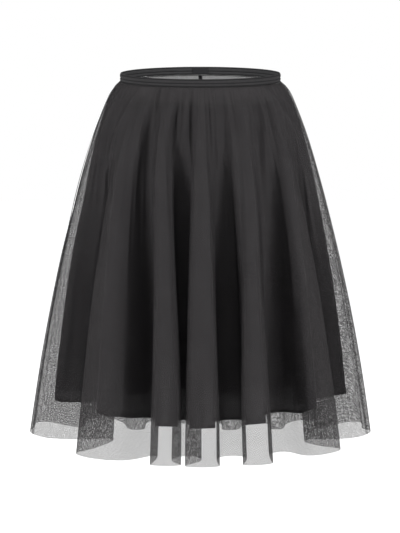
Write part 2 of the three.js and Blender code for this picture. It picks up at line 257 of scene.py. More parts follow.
def heights(share, level):
    """How high each thread is at each level: its length is fixed, so what it travels sideways
    it doesn't drop. The threads at the crowns are a little longer. The levels are one column for
    every thread, or a column for each."""
    angle = bearing(share)
    swung = hem_at(TULLE_HEM, share) - oval(angle, HEM_HALF_WIDTH, HEM_HALF_FRONT, HEM_HALF_BACK)
    out = np.stack([np.sin(angle) / HEM_HALF_WIDTH, -np.cos(angle) / HEM_HALF_FRONT], -1)
    swing = (swung * out).sum(-1) / np.linalg.norm(out, axis=-1)
    step = (TULLE_LENGTH + CROWN_DROP * swing) / LENGTH_STEPS
    fine = np.linspace(0, 1, LENGTH_STEPS + 1)
    line = tulle_plan(share[None, :], fine[:, None])
    sideways = np.linalg.norm(np.diff(line, axis=0), axis=-1)
    drop = np.sqrt(np.maximum(step ** 2 - sideways ** 2, (STEEPEST * step) ** 2))
    z = np.vstack([np.zeros(len(share)), -np.cumsum(drop, axis=0)]) - BAND_HEIGHT / 2 - GAP
    place = np.clip(level * LENGTH_STEPS, 0, LENGTH_STEPS - 1e-9)
    place = place[:, None] if place.ndim == 1 else place
    i, thread = place.astype(int), np.arange(len(share))
    t = place - i
    return z[i, thread] * (1 - t) + z[i + 1, thread] * t


# Families of gathers round the waist: how many gathers, how far they wander, in how many waves
# and from where, how far down they reach as a level, and how far they stand out
GATHERS = (
    (37, 1.6, 3, 1.0, 0.120, 0.75),
    (61, 1.3, 5, 0.4, 0.060, 0.65),
    (97, 1.9, 7, 2.1, 0.040, 0.50),
)
GATHER_SIZE = 1.3


def gathers(share, level):
    """Small gathers where the cloth is drawn in at the waist: uneven waves round the waist that
    die out downwards, each family with its own length. Crowns are round and the places between
    them pinched."""
    a = bearing(share)
    rise = smoothstep(level / 0.012) * 0.6 + 0.4
    waves = 0
    for turns, sway, swings, start, reach, size in GATHERS:
        wander = sway * np.sin(swings * a + start)
        crown = np.abs(np.sin((turns * a + wander) / 2)) ** 0.8
        waves = waves + GATHER_SIZE * size * (2 * crown - 1.2) * np.exp(-level / reach)
    uneven = 0.65 + 0.45 * np.sin(4 * a + 0.8) * np.sin(9 * a + 2.4)
    return rise * uneven * waves


def streaks(share, level):
    """Soft long ripples down the cloth: two waves in the hem share that drift sideways a little
    and come and go along the length."""
    s = share * 2 * math.pi
    drift = 0.5 * np.sin(3.1 * level + 4 * s)
    body = smoothstep(level / 0.12) * smoothstep((1.08 - level) / 0.2)
    wide = np.sin(83 * s + drift * 3 + 2 * np.sin(5 * s))
    narrow = np.sin(131 * s - drift * 4 + 2 * np.sin(8 * s + 1))
    return body * (0.50 * wide * (0.6 + 0.4 * np.sin(9 * level + 7 * s))
                   + 0.35 * narrow * (0.5 + 0.5 * np.sin(13 * level + 5 * s + 2)))


# The band's outside from its top edge down: how far below the top, and how far it stands out.
# Rows of stitching draw it in at the two lower grooves; the upper one runs under its top edge.
BAND_OUTSIDE = np.array([
    [0, -1.1], [0.1, -0.6], [0.4, -0.25], [1.0, -0.1], [1.6, -0.3], [2.1, 0.15], [3.0, 0.5],
    [4.2, 0.55], [5.6, 0.4], [6.5, 0.05], [6.9, -0.45], [7.2, -0.65], [7.5, -0.45], [8.0, 0.1],
    [8.8, 0.4], [9.8, 0.4], [10.8, 0.2], [11.4, -0.2], [11.8, -0.5], [12.1, -0.3], [12.5, -0.15],
    [12.9, -0.25], [13, -0.7],
])
# Its inside from the bottom up: how far it stands out, and how far below the top
BAND_INSIDE = np.array([
    [0.4, 13], [0, 12.7], [-0.1, 12], [0.4, 11.5], [-0.15, 10.8], [-0.25, 9.2], [-0.1, 7.8],
    [0.45, 7.2], [-0.1, 6.6], [-0.25, 4.4], [-0.1, 2.6], [0.3, 2.1], [0, 1.2], [0.1, 0.4],
    [0.5, 0.05],
]) - [BAND_WALL, 0]
BAND_GROOVES = (1.6, 7.2, 11.8)
# The mean radius of the waist's oval
WAIST_RADIUS = math.sqrt((WAIST_WIDTH ** 2 + WAIST_DEPTH ** 2) / 8)


def profile_run(profile):
    """How far along a profile each of its points is."""
    return np.concatenate([[0], np.cumsum(np.linalg.norm(np.diff(profile, axis=0), axis=1))])


BAND_PROFILE = np.vstack([BAND_OUTSIDE[:, ::-1], BAND_INSIDE])
BAND_RUN = profile_run(BAND_PROFILE)

# Main creases: where each one is, as shares of the way round at five levels, then the levels where it
# begins and ends, its half width in shares, and how far it stands out
CREASE_LEVELS = [0.03, 0.07, 0.13, 0.25, 0.5]
CREASES = np.array([
    [-0.206, -0.217, -0.237, -0.268, -0.283, 0.01, 0.55, 0.012, 3.2],
    [-0.188, -0.191, -0.196, -0.196, -0.192, 0.02, 0.40, 0.009, -2.2],
    [-0.186, -0.190, -0.198, -0.205, -0.205, 0.08, 0.95, 0.011, 4.0],
    [-0.160, -0.167, -0.172, -0.177, -0.180, 0.01, 0.40, 0.009, 3.0],
    [-0.170, -0.172, -0.176, -0.182, -0.182, 0.20, 0.92, 0.013, -4.5],
    [-0.130, -0.137, -0.147, -0.158, -0.156, 0.02, 0.80, 0.018, -6.0],
    [-0.088, -0.092, -0.109, -0.110, -0.110, 0.01, 0.55, 0.014, 4.5],
    [-0.096, -0.096, -0.096, -0.095, -0.095, 0.15, 0.92, 0.007, -3.2],
    [-0.072, -0.075, -0.077, -0.058, -0.052, 0.02, 0.75, 0.011, -7.0],
    [-0.045, -0.045, -0.046, -0.046, -0.046, 0.01, 0.17, 0.007, 3.5],
    [-0.029, -0.029, -0.028, -0.034, -0.046, 0.02, 0.60, 0.010, -6.0],
    [0.000, 0.000, 0.000, 0.002, 0.002, 0.01, 0.50, 0.013, 3.6],
    [0.024, 0.025, 0.023, 0.020, 0.020, 0.03, 0.30, 0.007, -2.4],
    [0.045, 0.046, 0.051, 0.040, 0.036, 0.02, 0.30, 0.007, 1.8],
    [0.066, 0.067, 0.066, 0.061, 0.060, 0.03, 0.60, 0.010, -4.0],
    [0.080, 0.082, 0.081, 0.086, 0.088, 0.01, 0.18, 0.006, 2.4],
    [0.094, 0.095, 0.101, 0.096, 0.088, 0.03, 0.90, 0.012, -7.0],
    [0.118, 0.121, 0.117, 0.119, 0.110, 0.01, 0.55, 0.012, 4.5],
    [0.138, 0.138, 0.136, 0.132, 0.130, 0.02, 0.35, 0.006, -1.6],
    [0.150, 0.152, 0.150, 0.142, 0.140, 0.03, 0.45, 0.007, -2.4],
    [0.168, 0.172, 0.162, 0.154, 0.152, 0.01, 0.40, 0.008, 3.0],
    [0.182, 0.184, 0.182, 0.170, 0.166, 0.03, 0.75, 0.013, -5.0],
    [0.205, 0.218, 0.245, 0.256, 0.262, 0.01, 0.55, 0.012, 3.2],
    [0.193, 0.196, 0.194, 0.196, 0.196, 0.02, 0.40, 0.009, 2.4],
    [0.296, 0.298, 0.300, 0.304, 0.306, 0.01, 0.45, 0.010, 3.0],
    [0.322, 0.325, 0.330, 0.334, 0.335, 0.02, 0.60, 0.012, -4.4],
    [0.352, 0.354, 0.356, 0.362, 0.366, 0.01, 0.40, 0.011, 3.4],
    [0.380, 0.381, 0.385, 0.390, 0.392, 0.02, 0.65, 0.010, -4.6],
    [0.408, 0.410, 0.414, 0.420, 0.424, 0.01, 0.38, 0.009, 2.6],
    [0.436, 0.437, 0.440, 0.445, 0.448, 0.02, 0.55, 0.011, -4.0],
    [0.463, 0.465, 0.468, 0.472, 0.474, 0.01, 0.50, 0.012, 3.8],
    [0.520, 0.518, 0.515, 0.512, 0.510, 0.02, 0.50, 0.010, -3.6],
    [0.545, 0.543, 0.540, 0.538, 0.537, 0.01, 0.48, 0.011, 3.2],
    [0.572, 0.570, 0.568, 0.562, 0.560, 0.02, 0.65, 0.010, -5.0],
    [0.600, 0.598, 0.594, 0.590, 0.586, 0.01, 0.36, 0.010, 2.6],
    [0.630, 0.628, 0.624, 0.616, 0.612, 0.02, 0.60, 0.012, -4.4],
    [0.658, 0.656, 0.654, 0.648, 0.645, 0.01, 0.45, 0.011, 3.6],
    [0.684, 0.684, 0.682, 0.680, 0.678, 0.02, 0.50, 0.009, -3.0],
    [0.708, 0.708, 0.708, 0.706, 0.704, 0.01, 0.42, 0.010, 2.8],
])


def creases(share, level):
    """Soft ridges and troughs: each is a bell across its path, which fades in under the waist,
    the deep ones more slowly, and out again below."""
    out = np.zeros(np.shape(share))
    for *path, top, bottom, width, height in CREASES:
        middle = np.interp(level, CREASE_LEVELS, path)
        away = (np.mod(share - middle + 0.5, 1) - 0.5) / width
        easing = 0.01 + 0.014 * abs(height)
        fade = smoothstep((level - top) / easing + 0.3)
        fade = fade * smoothstep((bottom - level) / (0.5 * (bottom - top)))
        out += height * fade * np.exp(-away ** 2)
    return out


# Thin ridges where the net alone is pinched up: shares of the way round at the same five levels,
# then the levels where each begins and ends, its half width in millimetres, and its height
PINCHES = np.array([
    [-0.207, -0.217, -0.238, -0.272, -0.283, 0.01, 0.70, 3.2, 2.6],
    [-0.187, -0.190, -0.194, -0.198, -0.204, 0.02, 0.30, 2.4, 2.3],
    [-0.166, -0.169, -0.174, -0.180, -0.184, 0.01, 0.22, 2.4, 2.4],
    [-0.144, -0.141, -0.145, -0.150, -0.152, 0.00, 0.30, 2.4, 1.8],
    [-0.130, -0.127, -0.126, -0.128, -0.130, 0.00, 0.12, 2.2, 1.5],
    [-0.114, -0.109, -0.105, -0.104, -0.104, 0.00, 0.26, 2.4, 1.8],
    [-0.098, -0.097, -0.097, -0.098, -0.098, 0.00, 0.10, 2.2, 1.4],
    [-0.083, -0.083, -0.087, -0.090, -0.092, 0.00, 0.42, 2.4, 1.8],
    [-0.060, -0.058, -0.056, -0.055, -0.055, 0.00, 0.14, 2.4, 1.4],
    [-0.038, -0.037, -0.037, -0.038, -0.040, 0.00, 0.34, 2.4, 1.9],
    [-0.022, -0.021, -0.020, -0.020, -0.020, 0.00, 0.16, 2.2, 1.5],
    [-0.006, -0.006, -0.005, -0.004, -0.004, 0.00, 0.24, 2.2, 1.6],
    [0.012, 0.010, 0.009, 0.008, 0.008, 0.00, 0.40, 2.4, 1.8],
    [0.030, 0.030, 0.031, 0.032, 0.032, 0.00, 0.16, 2.2, 1.4],
    [0.044, 0.044, 0.044, 0.046, 0.048, 0.00, 0.30, 2.4, 1.8],
    [0.074, 0.075, 0.076, 0.077, 0.078, 0.00, 0.14, 2.4, 1.4],
    [0.095, 0.098, 0.100, 0.102, 0.102, 0.00, 0.20, 2.4, 1.5],
    [0.117, 0.115, 0.113, 0.112, 0.112, 0.00, 0.44, 2.6, 2.0],
    [0.144, 0.146, 0.146, 0.146, 0.146, 0.01, 0.24, 2.4, 1.6],
    [0.164, 0.166, 0.170, 0.176, 0.180, 0.01, 0.34, 2.6, 1.7],
    [0.187, 0.189, 0.192, 0.196, 0.200, 0.02, 0.26, 2.6, 1.6],
    [0.205, 0.218, 0.248, 0.258, 0.266, 0.01, 0.70, 3.2, 2.6],
    [0.300, 0.304, 0.308, 0.312, 0.314, 0.01, 0.45, 2.8, 2.0],
    [0.340, 0.342, 0.346, 0.350, 0.352, 0.00, 0.22, 2.4, 1.6],
    [0.372, 0.372, 0.374, 0.378, 0.380, 0.00, 0.40, 2.6, 1.9],
    [0.414, 0.414, 0.416, 0.418, 0.420, 0.00, 0.24, 2.4, 1.7],
    [0.450, 0.450, 0.452, 0.454, 0.455, 0.00, 0.38, 2.6, 1.9],
    [0.500, 0.500, 0.499, 0.498, 0.498, 0.00, 0.22, 2.4, 1.6],
    [0.535, 0.534, 0.532, 0.530, 0.528, 0.00, 0.42, 2.6, 1.9],
    [0.582, 0.580, 0.577, 0.574, 0.572, 0.00, 0.24, 2.4, 1.7],
    [0.618, 0.616, 0.612, 0.606, 0.604, 0.00, 0.36, 2.6, 1.8],
    [0.668, 0.666, 0.664, 0.660, 0.658, 0.01, 0.26, 2.4, 1.7],
    [0.700, 0.698, 0.694, 0.690, 0.688, 0.01, 0.40, 2.6, 1.9],
])


def pinches(share, level):
    """Narrow ridges of the net: a sharp bell across each path, that comes and goes along it."""
    out = np.zeros(np.shape(share))
    for number, (*path, top, bottom, width, height) in enumerate(PINCHES):
        middle = np.interp(level, CREASE_LEVELS, path)
        away = (np.mod(share - middle + 0.5, 1) - 0.5) * cloth_round(level) / width
        fade = smoothstep((level - top) / 0.02 + 0.5)
        fade = fade * smoothstep((bottom - level) / (0.6 * (bottom - top)))
        uneven = 0.75 + 0.25 * np.sin(31 * level + 2.3 * number)
        out += height * fade * uneven * np.exp(-np.abs(away) ** 1.5)
    return out


def surface(plan, relief, share, level):
    """Points of a layer for a row of shares and the levels of each, raised by the relief."""
    s = np.broadcast_to(share, level.shape)
    points = np.dstack([plan(s, level), heights(share, level)])
    return points + normals(points) * relief(s, level)[..., None]


def normals(points):
    """Outward directions of a grid of points, from the lines that cross at each one."""
    across = np.gradient(points, axis=1)
    down = np.gradient(points, axis=0)
    n = np.cross(down, across)
    return n / np.maximum(np.linalg.norm(n, axis=-1), 1e-12)[..., None]


def beside_seam(plan, relief, seam, level, across):
    """A strip of the cloth along a seam, its columns at fixed distances from it in millimetres."""
    s = seam + across[None, :] / cloth_round(level)[:, None]
    l = np.repeat(level[:, None], len(across), axis=1)
    points = np.dstack([plan(s, l), heights(s.ravel(), l.reshape(1, -1)).reshape(s.shape)])
    return points + normals(points) * relief(s, l)[..., None]


def spread_shares(first, last, count):
    """Shares between two places on the hem, closer together where the hem turns sharply: each
    step takes up the same sum of the way along the hem and of the turn."""
    place = np.arange(HEM_POINTS) / HEM_POINTS
    a, b, c = [hem_at(TULLE_HEM, place + d / HEM_POINTS) for d in (-2, 0, 2)]
    turn = np.arctan2(*(c - b).T[::-1]) - np.arctan2(*(b - a).T[::-1])
    turn = np.abs(np.arctan2(np.sin(turn), np.cos(turn))) / 2
    run = np.linalg.norm(c - b, axis=-1) / 2
    effort = np.concatenate([[0], np.cumsum(run / RUN_STEP + turn / TURN_STEP)])
    whole = effort[-1]
    index = np.arange(first, last + 1)
    spent = effort[np.mod(index, HEM_POINTS)] + whole * (index // HEM_POINTS)
    at = np.linspace(spent[0], spent[-1], count)
    return np.interp(at, spent, index) / HEM_POINTS


def grid_faces(rows, columns, start=0, wrap=False):
    """Quads of a grid of points, rows downwards and columns to the right seen from outside."""
    across = np.arange(columns if wrap else columns - 1)
    j, i = np.meshgrid(np.arange(rows - 1), across, indexing="ij")
    k = (i + 1) % columns
    at = start + j * columns + i
    to = start + j * columns + k
    return np.stack([at, at + columns, to + columns, to], -1).reshape(-1, 4)


def make_mesh(name, points, faces, uv=None):
    """An object at the origin from points in millimetres and quads, smooth, with a UV map that
    holds the place on the flat cloth in metres."""
    mesh = bpy.data.meshes.new(name)
    mesh.vertices.add(len(points))
    mesh.vertices.foreach_set("co", (points * MM).astype(np.float32).ravel())
    mesh.loops.add(faces.size)
    mesh.loops.foreach_set("vertex_index", faces.astype(np.int32).ravel())
    mesh.polygons.add(len(faces))
    mesh.polygons.foreach_set("loop_start", np.arange(0, faces.size, 4, dtype=np.int32))
    mesh.update(calc_edges=True)
    mesh.polygons.foreach_set("use_smooth", np.ones(len(faces), dtype=bool))
    if uv is not None:
        layer = mesh.uv_layers.new(name="flat")
        layer.data.foreach_set("uv", (uv[faces.ravel()] * MM).astype(np.float32).ravel())
    mesh.validate()
    piece = bpy.data.objects.new(name, mesh)
    bpy.context.scene.collection.objects.link(piece)
    return piece


def shell(name, outer, thick, uv=None, turned=False):
    """A thin closed shell: a grid of points, the same points moved inwards by the thickness, and
    the strips that close its edges. Where it is turned, the inner side's map is a mirror image."""
    rows, columns = outer.shape[:2]
    inner = outer - normals(outer) * np.broadcast_to(thick, outer.shape[:2])[..., None]
    points = np.concatenate([outer.reshape(-1, 3), inner.reshape(-1, 3)])
    front = grid_faces(rows, columns)
    back = grid_faces(rows, columns, rows * columns)[:, ::-1]
    n = rows * columns
    i = np.arange(columns - 1)
    j = np.arange(rows - 1)
    low = (rows - 1) * columns
    top = np.stack([i, i + 1, n + i + 1, n + i], -1)
    bottom = np.stack([low + i, n + low + i, n + low + i + 1, low + i + 1], -1)
    left = np.stack([j * columns, n + j * columns, n + (j + 1) * columns, (j + 1) * columns], -1)
    e = columns - 1
    right = np.stack([j * columns + e, (j + 1) * columns + e, n + (j + 1) * columns + e,
                      n + j * columns + e], -1)
    flat = None if uv is None else np.concatenate([uv.reshape(-1, 2),
                                                   uv.reshape(-1, 2) * ([-1, 1] if turned else 1)])
    return make_mesh(name, points, np.concatenate([front, back, top, bottom, left, right]), flat)


def linear(code):
    """A screen colour such as 3a3a3c as the linear numbers that shaders take."""
    parts = np.array([int(code[i:i + 2], 16) / 255 for i in (0, 2, 4)])
    values = np.where(parts <= 0.04045, parts / 12.92, ((parts + 0.055) / 1.055) ** 2.4)
    return (*values.tolist(), 1.0)


def add_node(tree, kind, inputs=None, **settings):
    """A shader node of a kind, with its settings, and its inputs set or linked by name or
    number. A node that is given as an input is linked by its first output."""
    made = tree.nodes.new("ShaderNode" + kind)
    for name, value in settings.items():
        setattr(made, name, value)
    for name, value in (inputs or {}).items():
        value = value.outputs[0] if isinstance(value, bpy.types.Node) else value
        if isinstance(value, bpy.types.NodeSocket):
            tree.links.new(value, made.inputs[name])
        else:
            made.inputs[name].default_value = value
    return made


def new_material(name):
    """A material whose node tree is empty, and that tree."""
    made = bpy.data.materials.new(name)
    made.use_nodes = True
    made.node_tree.nodes.clear()
    return made, made.node_tree


def flat_place(tree):
    """The place on the flat cloth in metres, and how far it is along and down."""
    place = add_node(tree, "UVMap", uv_map="flat")
    split = add_node(tree, "SeparateXYZ", {0: place})
    return place, split.outputs[0], split.outputs[1]


def threads(tree, place, lean, pitch, width):
    """A family of slanting threads: 1 on a thread, 0 between two. The sum or the difference of
    the two places, folded to and fro, is the way to the nearest thread. Sizes in millimetres."""
    split = add_node(tree, "SeparateXYZ", {0: place})
    slant = add_node(tree, "Math", {0: split.outputs[0], 1: split.outputs[1]},
                     operation=lean)
    across = add_node(tree, "Math", {0: slant, 1: pitch / 2 * MM}, operation="PINGPONG")
    return add_node(tree, "MapRange", {
        "Value": across, "From Min": 0.0, "From Max": width * MM, "To Min": 1.0, "To Max": 0.0},
        interpolation_type="SMOOTHSTEP")


def net_threads(tree, place, pitch, width):
    """Two families of threads that cross in diamonds: 1 on a thread, 0 in a hole."""
    return add_node(tree, "Math", {
        0: threads(tree, place, "ADD", pitch, width),
        1: threads(tree, place, "SUBTRACT", pitch, width)}, operation="MAXIMUM")


def bars(tree, value, low, high, soft):
    """1 where a length lies between two others, with soft ends, all given in millimetres."""
    up = add_node(tree, "MapRange", {
        "Value": value, "From Min": (low - soft) * MM, "From Max": (low + soft) * MM})
    down = add_node(tree, "MapRange", {
        "Value": value, "From Min": (high - soft) * MM, "From Max": (high + soft) * MM,
        "To Min": 1.0, "To Max": 0.0})
    return add_node(tree, "Math", {0: up, 1: down}, operation="MULTIPLY")


def wave(tree, length, size):
    """A sine along a length, with one wave in each size, in millimetres."""
    turn = add_node(tree, "Math", {0: length, 1: 2 * math.pi / (size * MM)}, operation="MULTIPLY")
    return add_node(tree, "Math", {0: turn}, operation="SINE")


def sheer(tree, cover, body):
    """The cloth's own surface where the cover is 1, and nothing where it is 0."""
    clear = add_node(tree, "BsdfTransparent")
    return add_node(tree, "MixShader", {0: cover, 1: clear, 2: body})


def gathered_in(tree, place):
    """1 at the waist edge of the flat cloth, 0 from 35 mm below it."""
    radius = add_node(tree, "VectorMath", {0: place}, operation="LENGTH")
    waist = TULLE_RADIUS - TULLE_LENGTH
    return add_node(tree, "MapRange", {
        "Value": radius.outputs["Value"], "From Min": waist * MM, "From Max": (waist + 35) * MM,
        "To Min": 1.0, "To Max": 0.0}, interpolation_type="SMOOTHSTEP")


def tulle_material():
    """Dyed nylon bobbinet. One family of slanting threads is on the shell's outer side, and its
    mirror image on the inner side, so that together they cross in diamonds. The holes of a real
    net are about 1 mm wide; here they are drawn at 1.8 mm so that they can show. The threads
    wander by about half a millimetre, so two layers never match, and lie closer where the net is
    gathered in. What the net hides more at a slant comes from the absorption inside the shell."""
    made, tree = new_material("nylon_bobbinet_black")
    pitch, width, sway = 2.5, 0.84, 2.5 * MM
    place = add_node(tree, "UVMap", uv_map="flat")
    # The threads are slack in spots 7 mm wide. The cover changes in clouds 45 mm wide and in
    # patches 3 mm wide.
    slack = add_node(tree, "TexNoise", {"Vector": place, "Scale": 150.0, "Detail": 1.0})
    cloud = add_node(tree, "TexNoise", {"Vector": place, "Scale": 22.0, "Detail": 3.0})
    patch = add_node(tree, "TexNoise", {"Vector": place, "Scale": 330.0, "Detail": 1.0})
    wander = add_node(tree, "VectorMath", {
        0: slack.outputs["Color"], 1: (sway, sway, 0), 2: place}, operation="MULTIPLY_ADD")
    thread = threads(tree, wander, "ADD", pitch, width)
    uneven = add_node(tree, "Math", {0: cloud.outputs["Fac"], 1: 0.3, 2: 0.60},
                      operation="MULTIPLY_ADD")
    uneven = add_node(tree, "Math", {0: patch.outputs["Fac"], 1: 0.5, 2: uneven},
                      operation="MULTIPLY_ADD")
    net_density_and_groove_shade = add_node(tree, "Math", {0: gathered_in(tree, place), 1: 1.5, 2: 1.0},
                      operation="MULTIPLY_ADD")
    cover = add_node(tree, "Math", {0: thread, 1: uneven}, operation="MULTIPLY")
    cover = add_node(tree, "Math", {0: cover, 1: net_density_and_groove_shade}, operation="MULTIPLY",
                     use_clamp=True)
    body = add_node(tree, "BsdfPrincipled", {
        "Base Color": linear("413f40"), "Roughness": 0.6, "Sheen Weight": 0.28,
        "Sheen Roughness": 0.12, "Specular IOR Level": 0.08, "Sheen Tint": linear("b8b7b9")})
    dark = add_node(tree, "VolumeAbsorption", {"Color": linear("000000"), "Density": 200.0})
    add_node(tree, "OutputMaterial", {"Surface": sheer(tree, cover, body), "Volume": dark})
    return made


def seam_material():
    """The seam allowance of the net: a second ply, the stitching beside the seam, and an
    overlocked edge whose thread crosses it in a zigzag every 2 mm. It is bunched and nearly
    opaque where it is drawn in under the band."""
    made, tree = new_material("overlocked_nylon_net")
    place, x, y = flat_place(tree)
    half_zigzag = 1.0 * MM
    stitching = bars(tree, x, -0.2, 1.1, 0.2)
    edge = bars(tree, x, SEAM_WIDTH - 1.5, SEAM_WIDTH + 0.2, 0.2)
    zigzag = add_node(tree, "Math", {0: y, 1: half_zigzag}, operation="PINGPONG")
    loops = add_node(tree, "MapRange", {
        "Value": zigzag, "From Max": half_zigzag, "To Min": 0.75, "To Max": 1.0})
    lines = add_node(tree, "Math", {0: stitching, 1: edge}, operation="MAXIMUM")
    lines = add_node(tree, "Math", {0: lines, 1: loops}, operation="MULTIPLY")
    net = add_node(tree, "Math", {0: net_threads(tree, place, 2.8, 0.5), 1: 0.1},
                   operation="MULTIPLY")
    drawn_in = add_node(tree, "MapRange", {
        "Value": y, "From Min": 12 * MM, "From Max": 30 * MM, "To Min": 0.95, "To Max": 0.0})
    cover = add_node(tree, "Math", {0: lines, 1: net}, operation="MAXIMUM")
    cover = add_node(tree, "Math", {0: cover, 1: drawn_in}, operation="MAXIMUM")
    bump = add_node(tree, "Bump", {
        "Strength": 0.5, "Distance": 0.4 * MM, "Height": zigzag})
    body = add_node(tree, "BsdfPrincipled", {
        "Base Color": linear("242325"), "Roughness": 0.6, "Normal": bump,
        "Specular IOR Level": 0.10})
    add_node(tree, "OutputMaterial", {"Surface": sheer(tree, cover, body)})
    return made


def lining_material():
    """Soft woven polyester lining, dyed charcoal, a little sheer: fine weave in the bump and
    faint slubs in the colour, about 1 mm wide and 17 mm long. The narrow hem is turned up twice,
    so it is closer and darker, and a row of stitches 2.5 mm long runs along its top. The weave is
    drawn at 1.2 mm, coarser than it is, so that it can show."""
    made, tree = new_material("woven_polyester_lining")
    hem_depth, row_low, row_high, stitch_length = 6, 5.6, 4.6, 2.5
    cover_single, cover_hem = 0.82, 0.12
    place, x, y = flat_place(tree)
    stretch = add_node(tree, "Mapping", {"Vector": place, "Scale": (900.0, 60.0, 1.0)})
    slub = add_node(tree, "TexNoise", {"Vector": stretch, "Scale": 1.0, "Detail": 2.0})
    tone = add_node(tree, "Mix", {
        0: slub.outputs["Fac"], 6: linear("212022"), 7: linear("2d2c2e")}, data_type="RGBA")
    length = add_node(tree, "VectorMath", {0: place}, operation="LENGTH")
    radius = length.outputs["Value"]
    turn = add_node(tree, "Math", {0: x, 1: y}, operation="ARCTAN2")
    along = add_node(tree, "Math", {0: turn, 1: LINING_RADIUS * MM}, operation="MULTIPLY")
    hem = add_node(tree, "MapRange", {
        "Value": radius, "From Min": (LINING_RADIUS - hem_depth - 0.3) * MM,
        "From Max": (LINING_RADIUS - hem_depth + 0.3) * MM})
    step = add_node(tree, "Math", {0: along, 1: stitch_length / 2 * MM},
                    operation="PINGPONG")
    dash = add_node(tree, "MapRange", {
        "Value": step, "From Min": 0.2 * MM, "From Max": 0.4 * MM})
    row = bars(tree, radius, LINING_RADIUS - row_low, LINING_RADIUS - row_high, 0.2)
    stitch = add_node(tree, "Math", {0: row, 1: dash}, operation="MULTIPLY")
    doubled = add_node(tree, "Math", {0: hem, 1: 0.3}, operation="MULTIPLY")
    dark = add_node(tree, "Mix", {
        0: doubled, 6: tone.outputs[2], 7: linear("111012")}, data_type="RGBA")
    thread = add_node(tree, "Mix", {
        0: stitch, 6: dark.outputs[2], 7: linear("050505")}, data_type="RGBA")
    weave = net_threads(tree, place, 1.2, 0.4)
    bump = add_node(tree, "Bump", {
        "Strength": 0.25, "Distance": 0.2 * MM, "Height": weave})
    body = add_node(tree, "BsdfPrincipled", {
        "Base Color": thread.outputs[2], "Roughness": 0.7, "Normal": bump,
        "Sheen Weight": 0.35, "Sheen Roughness": 0.10, "Specular IOR Level": 0.04})
    cover = add_node(tree, "Math", {0: hem, 1: cover_hem, 2: cover_single},
                     operation="MULTIPLY_ADD")
    add_node(tree, "OutputMaterial", {"Surface": sheer(tree, cover, body)})
    return made


def band_material():
    """Elastic covered in fine black rib knit: ribs along the band as bump, soft changes of tone where
    the knit is worked more tightly, painted shade in the stitched grooves, and a paler inside face,
    painted light that stands for the light reaching the inside of the band."""
    made, tree = new_material("rib_knit_elastic")
    rib_width, row_height, groove_half = 1.2, 0.9, 0.65
    place, x, y = flat_place(tree)
    rib, row = wave(tree, x, rib_width), wave(tree, y, row_height)
    knit = add_node(tree, "Math", {0: rib, 1: row, 2: rib}, operation="MULTIPLY_ADD")
    bump = add_node(tree, "Bump", {
        "Strength": 0.35, "Distance": 0.2 * MM, "Height": knit})
    noise = add_node(tree, "TexNoise", {"Vector": place, "Scale": 160.0, "Detail": 3.0})
    tone = add_node(tree, "Mix", {
        0: noise.outputs["Fac"], 6: linear("29292a"), 7: linear("393839")}, data_type="RGBA")
    # Painted light: the band's inside face is drawn paler, to stand for the light that falls on it
    painted_inside_light = add_node(tree, "Mix", {
        0: noise.outputs["Fac"], 6: linear("363637"), 7: linear("474748")}, data_type="RGBA")
    turned_in = len(BAND_OUTSIDE)
    inside = add_node(tree, "Math", {0: y, 1: BAND_RUN[turned_in] * MM},
                      operation="GREATER_THAN")
    tone = add_node(tree, "Mix", {
        0: inside, 6: tone.outputs[2], 7: painted_inside_light.outputs[2]}, data_type="RGBA")
    outer, inner = BAND_PROFILE[:turned_in, 1], BAND_PROFILE[turned_in:, 1]
    # Painted shade: the stitched grooves, outside and inside, are darkened towards near black to stand
    # for their shadow
    net_density_and_groove_shade = 0.0
    for down in BAND_GROOVES:
        for at in (np.interp(down, outer, BAND_RUN[:turned_in]),
                   np.interp(-down, -inner, BAND_RUN[turned_in:])):
            painted_groove_shade = bars(tree, y, at - groove_half, at + groove_half, 0.3)
            net_density_and_groove_shade = add_node(tree, "Math", {0: net_density_and_groove_shade, 1: painted_groove_shade}, operation="MAXIMUM")
    net_density_and_groove_shade = add_node(tree, "Math", {0: net_density_and_groove_shade, 1: 0.85}, operation="MULTIPLY")
    shade = add_node(tree, "Mix", {
        0: net_density_and_groove_shade, 6: tone.outputs[2], 7: linear("101011")}, data_type="RGBA")
    body = add_node(tree, "BsdfPrincipled", {
        "Base Color": shade.outputs[2], "Roughness": 0.7, "Normal": bump,
        "Sheen Weight": 0.04, "Sheen Roughness": 0.4, "Specular IOR Level": 0.06})
    add_node(tree, "OutputMaterial", {"Surface": body})
    return made


def thread_material():
    """Spun polyester sewing thread, twisted: fine slanting ridges and a faint lustre."""
    made, tree = new_material("spun_polyester_thread")
    place = add_node(tree, "UVMap", uv_map="flat")
    ply = threads(tree, place, "ADD", 0.7, 0.3)
    bump = add_node(tree, "Bump", {
        "Strength": 0.4, "Distance": 0.1 * MM, "Height": ply})
    tone = add_node(tree, "Mix", {
        0: ply, 6: linear("101011"), 7: linear("1e1e1f")}, data_type="RGBA")
    body = add_node(tree, "BsdfPrincipled", {
        "Base Color": tone.outputs[2], "Roughness": 0.5, "Normal": bump,
        "Specular IOR Level": 0.2})
    add_node(tree, "OutputMaterial", {"Surface": body})
    return made


